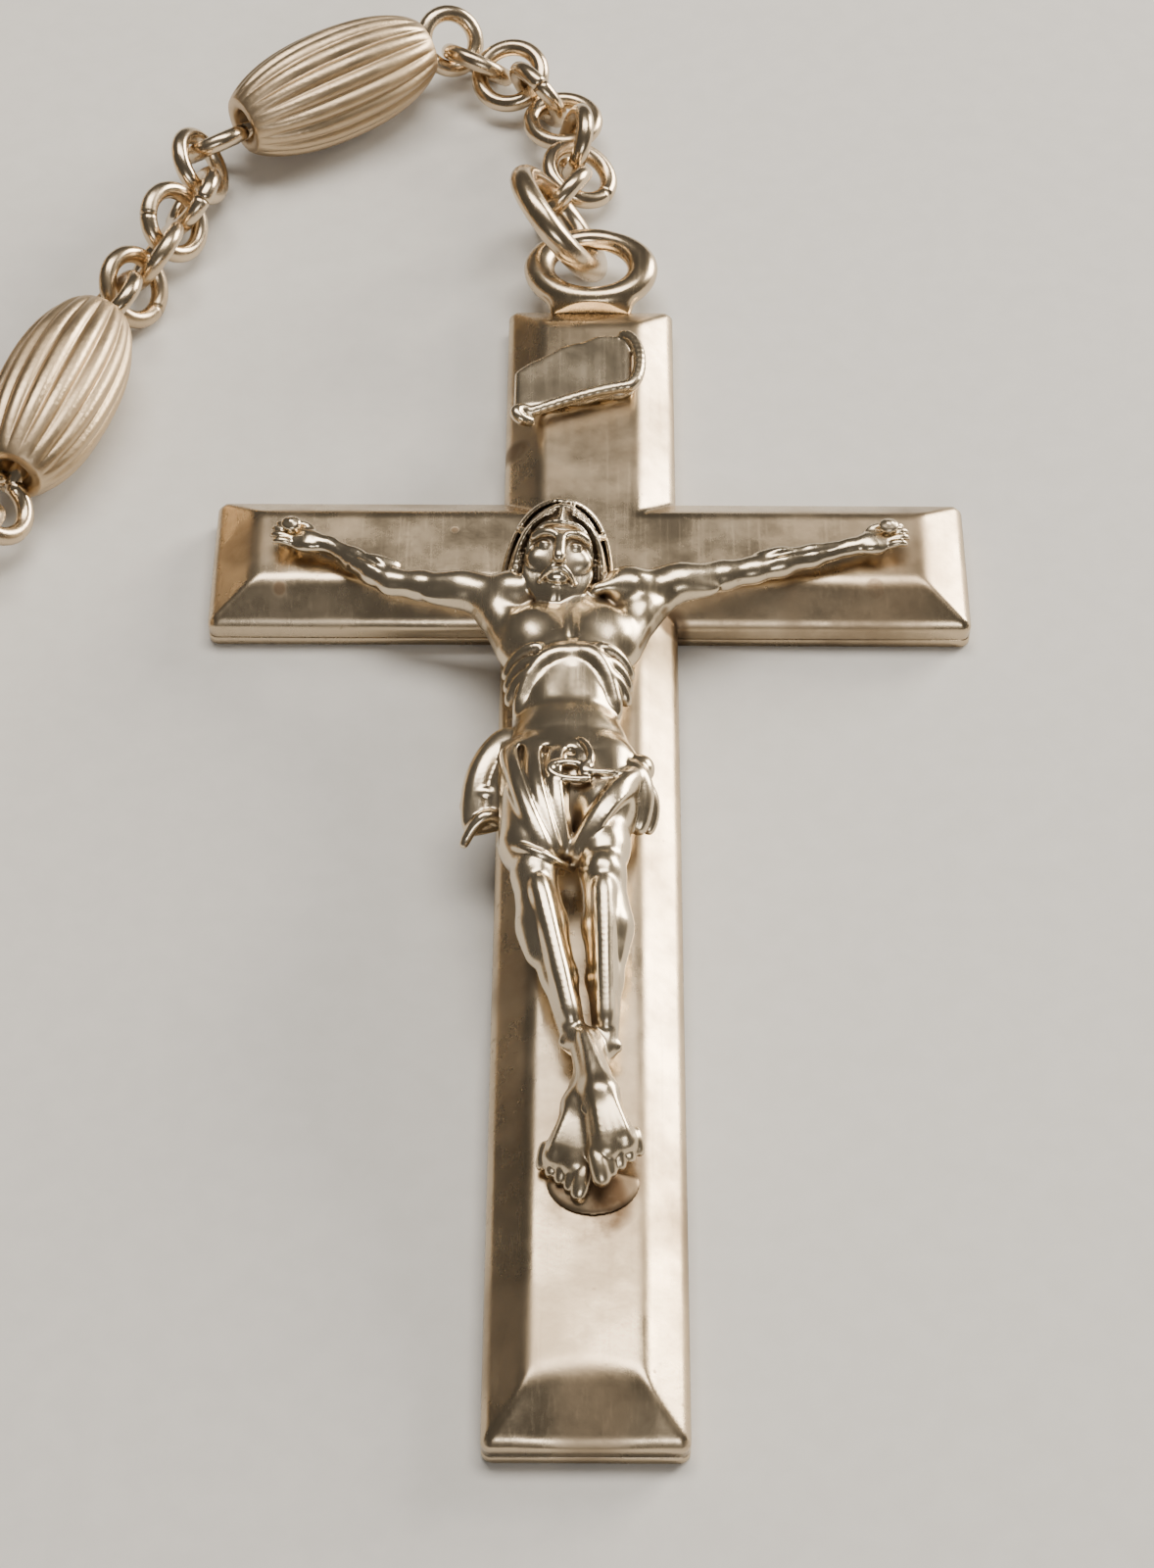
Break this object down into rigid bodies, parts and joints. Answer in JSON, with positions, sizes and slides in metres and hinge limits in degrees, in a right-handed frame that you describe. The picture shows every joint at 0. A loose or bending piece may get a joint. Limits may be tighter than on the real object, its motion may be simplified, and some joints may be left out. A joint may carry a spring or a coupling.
{
  "type": "rosary",
  "caption": "Silver rosary with a hollow crucifix on a jump ring, fluted oval beads on eye-pins joined by wire links, a centre medal and a looped chain of prayer beads.",
  "frame": {"origin": "on the back face of the crucifix, under the middle of its arms", "axes": "+Z out of the front of the crucifix, +Y towards its top, +X towards the figure's left hand"},
  "size_m": [0.1688, 0.1328, 0.0056],
  "materials": {
    "satin_bead_silver": "satin sterling silver, fluted, with darker tarnish in the grooves",
    "worn_cross_silver": "worn, softly polished sterling silver with fine scratches and brown tarnish in the recesses",
    "cast_figure_silver": "polished cast silver with brown tarnish in the folds",
    "wire_silver": "bright drawn silver wire, lightly scratched"
  },
  "bodies": {
    "centre_medal": {"centre_medal": "cast_figure_silver"},
    "link_22": {"link_22": "wire_silver"},
    "link_21": {"link_21": "wire_silver"},
    "link_20": {"link_20": "wire_silver"},
    "eye_pin_05": {"eye_pin_05": "wire_silver"},
    "bead_5_our_father": {"bead_5_our_father": "satin_bead_silver"},
    "link_19": {"link_19": "wire_silver"},
    "link_18": {"link_18": "wire_silver"},
    "link_17": {"link_17": "wire_silver"},
    "link_16": {"link_16": "wire_silver"},
    "link_15": {"link_15": "wire_silver"},
    "eye_pin_04": {"eye_pin_04": "wire_silver"},
    "bead_4_hail_mary": {"bead_4_hail_mary": "satin_bead_silver"},
    "link_14": {"link_14": "wire_silver"},
    "eye_pin_03": {"eye_pin_03": "wire_silver"},
    "bead_3_hail_mary": {"bead_3_hail_mary": "satin_bead_silver"},
    "link_13": {"link_13": "wire_silver"},
    "eye_pin_02": {"eye_pin_02": "wire_silver"},
    "bead_2_hail_mary": {"bead_2_hail_mary": "satin_bead_silver"},
    "link_12": {"link_12": "wire_silver"},
    "link_11": {"link_11": "wire_silver"},
    "link_10": {"link_10": "wire_silver"},
    "link_09": {"link_09": "wire_silver"},
    "link_08": {"link_08": "wire_silver"},
    "eye_pin_01": {"eye_pin_01": "wire_silver"},
    "bead_1_our_father": {"bead_1_our_father": "satin_bead_silver"},
    "link_07": {"link_07": "wire_silver"},
    "link_06": {"link_06": "wire_silver"},
    "link_05": {"link_05": "wire_silver"},
    "link_04": {"link_04": "wire_silver"},
    "link_03": {"link_03": "wire_silver"},
    "link_02": {"link_02": "wire_silver"},
    "link_01": {"link_01": "wire_silver"},
    "jump_ring": {"jump_ring": "wire_silver"},
    "crucifix": {"cross_front_shell": "worn_cross_silver", "cross_back_plate": "worn_cross_silver", "bail_ring": "worn_cross_silver", "titulus_scroll": "cast_figure_silver", "corpus": "cast_figure_silver", "foot_block": "cast_figure_silver", "nail_left_hand": "cast_figure_silver", "nail_right_hand": "cast_figure_silver", "nail_feet": "cast_figure_silver"},
    "decade_1": {"decade_1": "satin_bead_silver"},
    "eye_pin_06": {"eye_pin_06": "wire_silver"},
    "bead_6_our_father": {"bead_6_our_father": "satin_bead_silver"},
    "decade_2": {"decade_2": "satin_bead_silver"},
    "eye_pin_07": {"eye_pin_07": "wire_silver"},
    "bead_7_our_father": {"bead_7_our_father": "satin_bead_silver"},
    "decade_3": {"decade_3": "satin_bead_silver"},
    "eye_pin_08": {"eye_pin_08": "wire_silver"},
    "bead_8_our_father": {"bead_8_our_father": "satin_bead_silver"},
    "decade_4": {"decade_4": "satin_bead_silver"},
    "eye_pin_09": {"eye_pin_09": "wire_silver"},
    "bead_9_our_father": {"bead_9_our_father": "satin_bead_silver"},
    "decade_5": {"decade_5": "satin_bead_silver"}
  },
  "joints": [
    {"name": "crucifix_swing", "type": "hinge", "parent": "jump_ring", "child": "crucifix", "pos_m": [0.00002, 0.01594, 0.00141], "axis": [-0.274, -0.6602, 0.6993], "range_deg": [-30, 5]},
    {"name": "jump_ring_swing", "type": "hinge", "parent": "link_01", "child": "jump_ring", "pos_m": [-0.00151, 0.01894, 0.00217], "axis": [0.6211, 0.2314, 0.7488], "range_deg": [-15, 16]},
    {"name": "link_01_swing", "type": "hinge", "parent": "link_02", "child": "link_01", "pos_m": [-0.00104, 0.0206, 0.00139], "axis": [-0.8263, 0.3906, 0.4057], "range_deg": [-25, 40]},
    {"name": "link_02_swing", "type": "hinge", "parent": "link_03", "child": "link_02", "pos_m": [-0.00071, 0.02213, 0.00143], "axis": [0.3528, -0.1015, 0.9302], "range_deg": [-15, 25]},
    {"name": "link_03_swing", "type": "hinge", "parent": "link_04", "child": "link_03", "pos_m": [-0.00086, 0.02389, 0.00128], "axis": [-0.963, -0.2696, -0.0054], "range_deg": [-25, 40]},
    {"name": "link_04_swing", "type": "hinge", "parent": "link_05", "child": "link_04", "pos_m": [-0.00139, 0.02558, 0.00142], "axis": [0.1612, 0.3199, -0.9336], "range_deg": [-25, 10]},
    {"name": "link_05_swing", "type": "hinge", "parent": "link_06", "child": "link_05", "pos_m": [-0.00253, 0.027, 0.00135], "axis": [-0.6674, -0.6344, -0.39], "range_deg": [-25, 25]},
    {"name": "link_06_swing", "type": "hinge", "parent": "link_07", "child": "link_06", "pos_m": [-0.00386, 0.02806, 0.00141], "axis": [0.4418, 0.5004, -0.7446], "range_deg": [-25, 20]},
    {"name": "link_07_swing", "type": "hinge", "parent": "eye_pin_01", "child": "link_07", "pos_m": [-0.00532, 0.02922, 0.00121], "axis": [-0.6099, -0.7479, -0.2621], "range_deg": [-25, 16]},
    {"name": "eye_pin_01_swing", "type": "hinge", "parent": "link_08", "child": "eye_pin_01", "pos_m": [-0.01613, 0.02285, 0.00178], "axis": [-0.5296, 0.1917, 0.8263], "range_deg": [-35, 35]},
    {"name": "bead_1_our_father_spin", "type": "hinge", "parent": "eye_pin_01", "child": "bead_1_our_father", "pos_m": [-0.01097, 0.02622, 0.00235], "axis": [-0.8187, -0.5743, 0], "continuous": true},
    {"name": "decade_1_swing", "type": "hinge", "parent": "centre_medal", "child": "decade_1", "pos_m": [-0.07529, -0.04597, 0.00145], "axis": [0.0333, 0.9994, 0], "range_deg": [-20, 20]},
    {"name": "decade_2_swing", "type": "hinge", "parent": "eye_pin_06", "child": "decade_2", "pos_m": [-0.12177, 0.07479, 0.002], "axis": [0.5046, -0.8633, 0], "range_deg": [-20, 20]},
    {"name": "decade_3_swing", "type": "hinge", "parent": "eye_pin_07", "child": "decade_3", "pos_m": [-0.05918, -0.02224, 0.002], "axis": [-0.499, 0.8666, 0], "range_deg": [-20, 20]},
    {"name": "decade_4_swing", "type": "hinge", "parent": "eye_pin_08", "child": "decade_4", "pos_m": [-0.10094, -0.01774, 0.002], "axis": [-0.4575, -0.8892, 0], "range_deg": [-20, 20]},
    {"name": "decade_5_swing", "type": "hinge", "parent": "eye_pin_09", "child": "decade_5", "pos_m": [-0.10633, 0.07234, 0.002], "axis": [-0.2979, 0.9546, 0], "range_deg": [-20, 20]},
    {"name": "eye_pin_06_swing", "type": "hinge", "parent": "decade_1", "child": "eye_pin_06", "pos_m": [-0.13313, 0.06629, 0.002], "axis": [0.6829, -0.7305, 0], "range_deg": [-20, 20]},
    {"name": "eye_pin_07_swing", "type": "hinge", "parent": "decade_2", "child": "eye_pin_07", "pos_m": [-0.04795, -0.01359, 0.002], "axis": [-0.7051, 0.7091, 0], "range_deg": [-20, 20]},
    {"name": "eye_pin_08_swing", "type": "hinge", "parent": "decade_3", "child": "eye_pin_08", "pos_m": [-0.11094, -0.00781, 0.002], "axis": [-0.8785, -0.4777, 0], "range_deg": [-20, 20]},
    {"name": "eye_pin_09_swing", "type": "hinge", "parent": "decade_4", "child": "eye_pin_09", "pos_m": [-0.09234, 0.07463, 0.002], "axis": [-0.0224, 0.9997, 0], "range_deg": [-20, 20]},
    {"name": "link_22_swing", "type": "hinge", "parent": "centre_medal", "child": "link_22", "pos_m": [-0.06297, -0.03805, 0.00145], "axis": [0.3394, -0.9406, 0], "range_deg": [-25, 40]},
    {"name": "link_21_swing", "type": "hinge", "parent": "link_22", "child": "link_21", "pos_m": [-0.06129, -0.0374, 0.00175], "axis": [0, 0, -1], "range_deg": [-4, 40]},
    {"name": "link_20_swing", "type": "hinge", "parent": "link_21", "child": "link_20", "pos_m": [-0.05958, -0.03668, 0.00175], "axis": [0.3781, -0.8888, 0.2588], "range_deg": [-25, 40]},
    {"name": "eye_pin_05_swing", "type": "hinge", "parent": "link_20", "child": "eye_pin_05", "pos_m": [-0.05793, -0.03585, 0.0019], "axis": [-0.3238, 0.3971, 0.8588], "range_deg": [-35, 35]},
    {"name": "bead_5_our_father_spin", "type": "hinge", "parent": "eye_pin_05", "child": "bead_5_our_father", "pos_m": [-0.0525, -0.0328, 0.00235], "axis": [-0.8621, -0.5068, 0], "continuous": true},
    {"name": "link_19_swing", "type": "hinge", "parent": "eye_pin_05", "child": "link_19", "pos_m": [-0.04637, -0.02923, 0.00197], "axis": [0.3289, -0.6264, -0.7067], "range_deg": [-25, 40]},
    {"name": "link_18_swing", "type": "hinge", "parent": "link_19", "child": "link_18", "pos_m": [-0.04502, -0.028, 0.00175], "axis": [-0.4336, 0.5586, -0.7071], "range_deg": [-25, 40]},
    {"name": "link_17_swing", "type": "hinge", "parent": "link_18", "child": "link_17", "pos_m": [-0.04357, -0.02684, 0.00175], "axis": [0.4479, -0.5471, -0.7071], "range_deg": [-25, 40]},
    {"name": "link_16_swing", "type": "hinge", "parent": "link_17", "child": "link_16", "pos_m": [-0.04216, -0.02563, 0.00175], "axis": [-0.4647, 0.533, -0.7071], "range_deg": [-25, 40]},
    {"name": "link_15_swing", "type": "hinge", "parent": "link_16", "child": "link_15", "pos_m": [-0.04078, -0.02438, 0.00175], "axis": [0.4782, -0.5209, -0.7071], "range_deg": [-25, 40]},
    {"name": "eye_pin_04_swing", "type": "hinge", "parent": "link_15", "child": "eye_pin_04", "pos_m": [-0.03937, -0.02317, 0.00185], "axis": [-0.4127, 0.579, -0.7031], "range_deg": [-35, 35]},
    {"name": "bead_4_hail_mary_spin", "type": "hinge", "parent": "eye_pin_04", "child": "bead_4_hail_mary", "pos_m": [-0.0354, -0.01836, 0.00235], "axis": [-0.6445, -0.7646, 0], "continuous": true},
    {"name": "link_14_swing", "type": "hinge", "parent": "eye_pin_04", "child": "link_14", "pos_m": [-0.03095, -0.01285, 0.00185], "axis": [0.645, -0.315, 0.6962], "range_deg": [-25, 40]},
    {"name": "eye_pin_03_swing", "type": "hinge", "parent": "link_14", "child": "eye_pin_03", "pos_m": [-0.03002, -0.01131, 0.00185], "axis": [-0.6478, 0.2931, 0.7031], "range_deg": [-35, 35]},
    {"name": "bead_3_hail_mary_spin", "type": "hinge", "parent": "eye_pin_03", "child": "bead_3_hail_mary", "pos_m": [-0.02705, -0.00584, 0.00235], "axis": [-0.4584, -0.8887, 0], "continuous": true},
    {"name": "link_13_swing", "type": "hinge", "parent": "eye_pin_03", "child": "link_13", "pos_m": [-0.0237, 0.0004, 0.00188], "axis": [0.5546, -0.4507, -0.6995], "range_deg": [-25, 40]},
    {"name": "eye_pin_02_swing", "type": "hinge", "parent": "link_13", "child": "eye_pin_02", "pos_m": [-0.02273, 0.0018, 0.00195], "axis": [-0.4946, 0.5261, -0.6919], "range_deg": [-35, 35]},
    {"name": "bead_2_hail_mary_spin", "type": "hinge", "parent": "eye_pin_02", "child": "bead_2_hail_mary", "pos_m": [-0.02088, 0.00769, 0.00235], "axis": [-0.284, -0.9588, 0], "continuous": true},
    {"name": "link_12_swing", "type": "hinge", "parent": "eye_pin_02", "child": "link_12", "pos_m": [-0.01894, 0.01452, 0.00192], "axis": [0.702, -0.1086, 0.7039], "range_deg": [-25, 40]},
    {"name": "link_11_swing", "type": "hinge", "parent": "link_12", "child": "link_11", "pos_m": [-0.01798, 0.01587, 0.00164], "axis": [-0.549, 0.1989, 0.8118], "range_deg": [-25, 40]},
    {"name": "link_10_swing", "type": "hinge", "parent": "link_11", "child": "link_10", "pos_m": [-0.0173, 0.01763, 0.00179], "axis": [0.5083, -0.2995, 0.8074], "range_deg": [-25, 40]},
    {"name": "link_09_swing", "type": "hinge", "parent": "link_10", "child": "link_09", "pos_m": [-0.0165, 0.01932, 0.0018], "axis": [-0.5036, 0.3529, 0.7886], "range_deg": [-25, 40]},
    {"name": "link_08_swing", "type": "hinge", "parent": "link_09", "child": "link_08", "pos_m": [-0.01619, 0.02105, 0.00171], "axis": [0.5814, -0.2349, 0.7789], "range_deg": [-25, 18]},
    {"name": "bead_6_our_father_spin", "type": "hinge", "parent": "eye_pin_06", "child": "bead_6_our_father", "pos_m": [-0.12753, 0.07065, 0.00235], "axis": [0.8007, 0.5991, 0], "continuous": true},
    {"name": "bead_7_our_father_spin", "type": "hinge", "parent": "eye_pin_07", "child": "bead_7_our_father", "pos_m": [-0.05347, -0.01804, 0.00235], "axis": [-0.7921, -0.6104, 0], "continuous": true},
    {"name": "bead_8_our_father_spin", "type": "hinge", "parent": "eye_pin_08", "child": "bead_8_our_father", "pos_m": [-0.10619, -0.01303, 0.00235], "axis": [0.7087, -0.7055, 0], "continuous": true},
    {"name": "bead_9_our_father_spin", "type": "hinge", "parent": "eye_pin_09", "child": "bead_9_our_father", "pos_m": [-0.09936, 0.07365, 0.00235], "axis": [-0.9868, -0.162, 0], "continuous": true}
  ]
}
